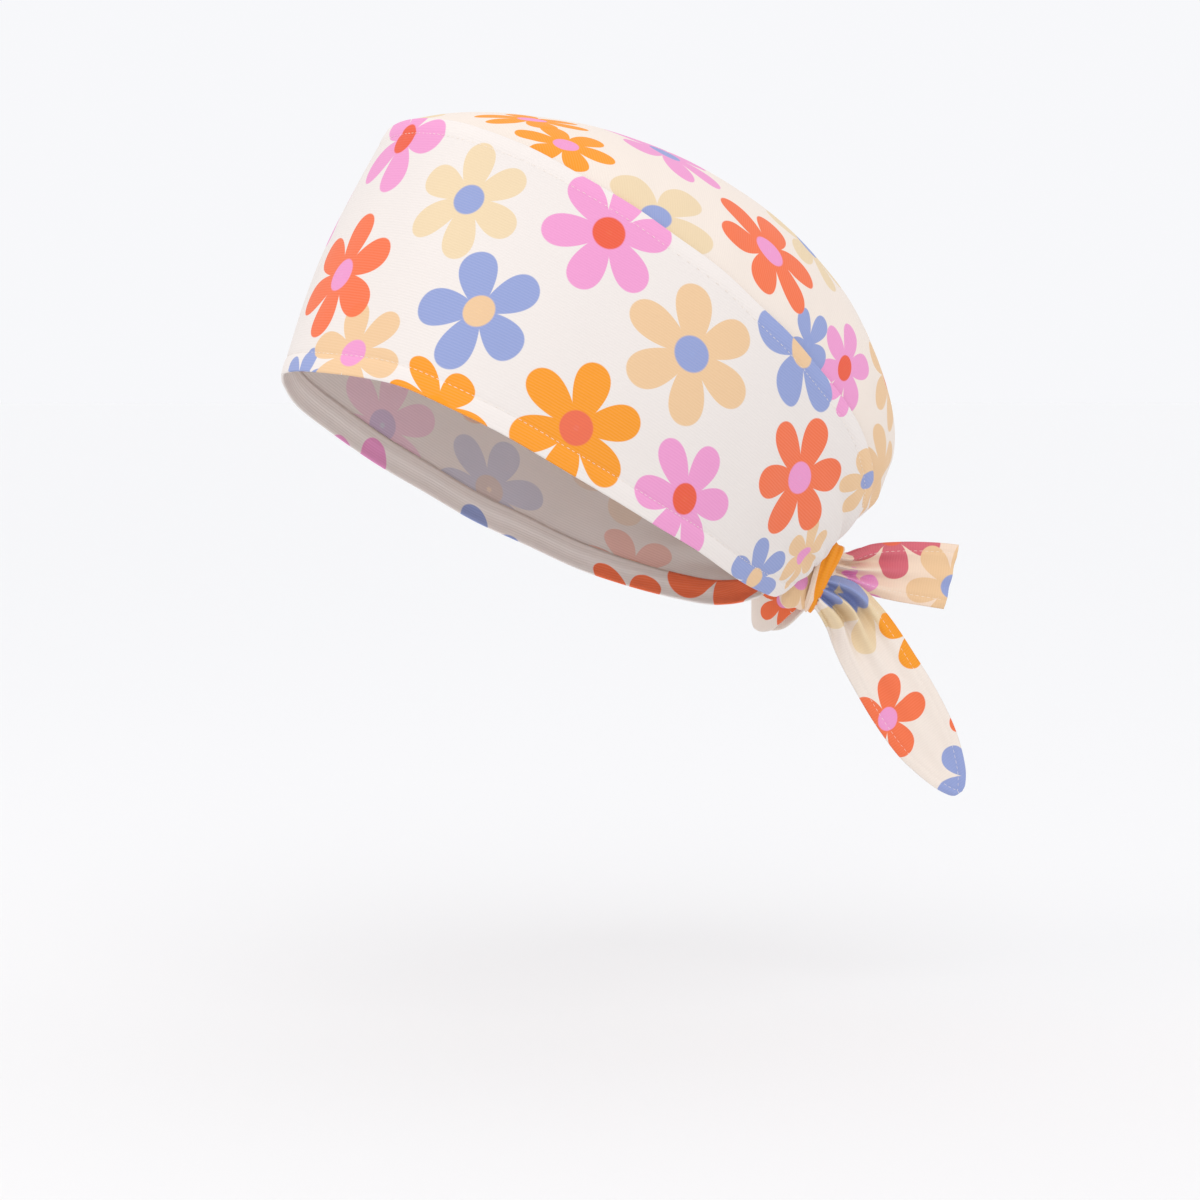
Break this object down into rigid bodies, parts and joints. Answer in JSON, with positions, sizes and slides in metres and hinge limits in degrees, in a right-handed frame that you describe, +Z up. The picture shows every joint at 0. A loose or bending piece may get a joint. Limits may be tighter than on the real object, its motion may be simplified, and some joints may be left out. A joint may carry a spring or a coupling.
{
  "type": "scrub cap",
  "caption": "Tie-back cloth scrub cap in its worn form: a tall side band, a full crown gathered at the nape, and a knot with a loop, a short end and a long hanging end.",
  "frame": {"origin": "Centre of the head opening, in the plane of the hem over the ears, where the cap sits on its wearer", "axes": "+Z up; the wearer faces -Y; +X is the wearer's left"},
  "size_m": [0.165, 0.3122, 0.2893],
  "materials": {
    "band_cotton": "matte",
    "crown_cotton": "matte",
    "knot_cotton": "matte",
    "wrap_cotton": "matte",
    "loop_cotton": "matte",
    "tail_cotton": "matte"
  },
  "bodies": {
    "root": {"side_band": "band_cotton", "crown": "crown_cotton", "knot_core": "knot_cotton", "knot_wrap": "wrap_cotton", "tie_loop": "loop_cotton", "tail_short": "tail_cotton", "tail_long": "tail_cotton"}
  },
  "joints": []
}
